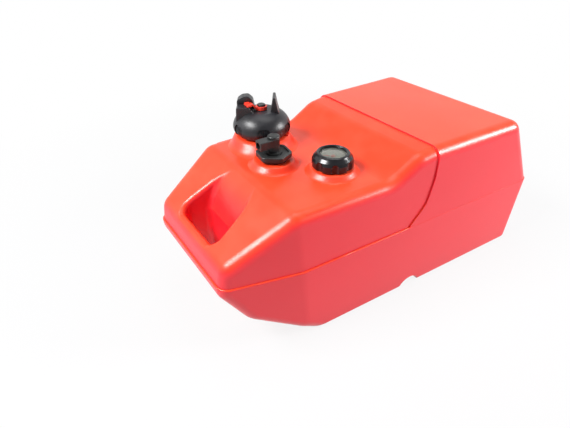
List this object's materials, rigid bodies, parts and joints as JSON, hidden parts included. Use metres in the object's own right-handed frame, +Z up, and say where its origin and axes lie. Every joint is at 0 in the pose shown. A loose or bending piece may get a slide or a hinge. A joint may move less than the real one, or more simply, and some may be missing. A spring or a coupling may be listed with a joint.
{
  "type": "portable outboard fuel tank",
  "caption": "Portable moulded fuel tank with a sloped nose and hand hole, vented screw filler cap, float fuel gauge and swivelling fuel outlet.",
  "frame": {"origin": "on the floor, under the middle of the bounding box", "axes": "+Z up, +X towards the tall end, -X towards the hand hole"},
  "size_m": [0.5759, 0.2918, 0.286],
  "materials": {
    "tank_red": "satin translucent polyethylene",
    "cap_charcoal": "fine satin",
    "natural_plastic": "moulded",
    "seal_rubber": "matte",
    "lever_red": "satin gloss",
    "gauge_black": "gloss",
    "gauge_lens": "clear moulded",
    "dial_grey": "printed",
    "pointer_red": "matte",
    "spindle_alloy": "drawn strip",
    "spring_steel": "drawn wire",
    "float_black": "closed-cell foam",
    "fitting_black": "glass-filled, moulded"
  },
  "bodies": {
    "tank": {"tank_shell": "tank_red", "gauge_ring": "gauge_black", "gauge_lens": "gauge_lens", "lens_gasket": "seal_rubber", "gauge_gasket": "seal_rubber", "gauge_housing": "natural_plastic", "gauge_dial": "dial_grey", "guide_rod": "spring_steel", "frame_foot": "natural_plastic", "pickup_nut": "fitting_black", "head_gasket": "seal_rubber", "pickup_head": "fitting_black", "post_seal": "seal_rubber", "pickup_tube": "natural_plastic", "pickup_filter": "fitting_black"},
    "cap_seal": {"cap_gasket": "seal_rubber"},
    "fill_cap": {"cap_shell": "cap_charcoal", "cap_liner": "natural_plastic", "vent_spring": "spring_steel"},
    "lever": {"lock_lever": "lever_red"},
    "vent": {"vent_poppet": "fitting_black", "vent_seal": "seal_rubber"},
    "float": {"gauge_float": "float_black", "float_driver": "natural_plastic"},
    "spindle": {"spindle": "spindle_alloy", "gauge_pointer": "pointer_red"},
    "outlet": {"outlet_elbow": "fitting_black", "check_spring": "spring_steel", "valve_bonnet": "fitting_black", "bonnet_seal": "seal_rubber"},
    "check_valve": {"check_ball": "seal_rubber"}
  },
  "joints": [
    {"name": "cap_lift", "type": "slide", "parent": "tank", "child": "cap_seal", "axis": [0, 0, 1], "range_m": [0, 0.0075]},
    {"name": "cap_turn", "type": "hinge", "parent": "cap_seal", "child": "fill_cap", "pos_m": [-0.116, 0.078, 0.24], "axis": [0, 0, 1], "range_deg": [0, 541]},
    {"name": "lever_swing", "type": "hinge", "parent": "fill_cap", "child": "lever", "pos_m": [-0.116, 0.078, 0.268], "axis": [0, 0, 1], "range_deg": [0, 50.5]},
    {"name": "vent_lift", "type": "slide", "parent": "fill_cap", "child": "vent", "axis": [0, 0, 1], "range_m": [0, 0.002], "deforming": ["vent_spring"]},
    {"name": "float_rise", "type": "slide", "parent": "tank", "child": "float", "axis": [0, 0, 1], "range_m": [0, 0.165]},
    {"name": "spindle_turn", "type": "hinge", "parent": "tank", "child": "spindle", "pos_m": [-0.0835, -0.054, 0.12], "axis": [0, 0, 1], "range_deg": [-270.5, 0]},
    {"name": "outlet_swivel", "type": "hinge", "parent": "tank", "child": "outlet", "pos_m": [-0.14, 0.007, 0.236], "axis": [0, 0, 1], "range_deg": [-150, 150]},
    {"name": "check_lift", "type": "slide", "parent": "outlet", "child": "check_valve", "axis": [0, 0, 1], "range_m": [0, 0.002], "stiffness_N_per_m": 12, "springref_m": -0.001, "deforming": ["check_spring"]}
  ],
  "couplings": [
    {"joint": "cap_turn", "follows": "cap_lift", "rad_per_m": 1256.6},
    {"joint": "lever_swing", "follows": "vent_lift", "rad_per_m": 436.33},
    {"joint": "spindle_turn", "follows": "float_rise", "rad_per_m": -28.56}
  ]
}
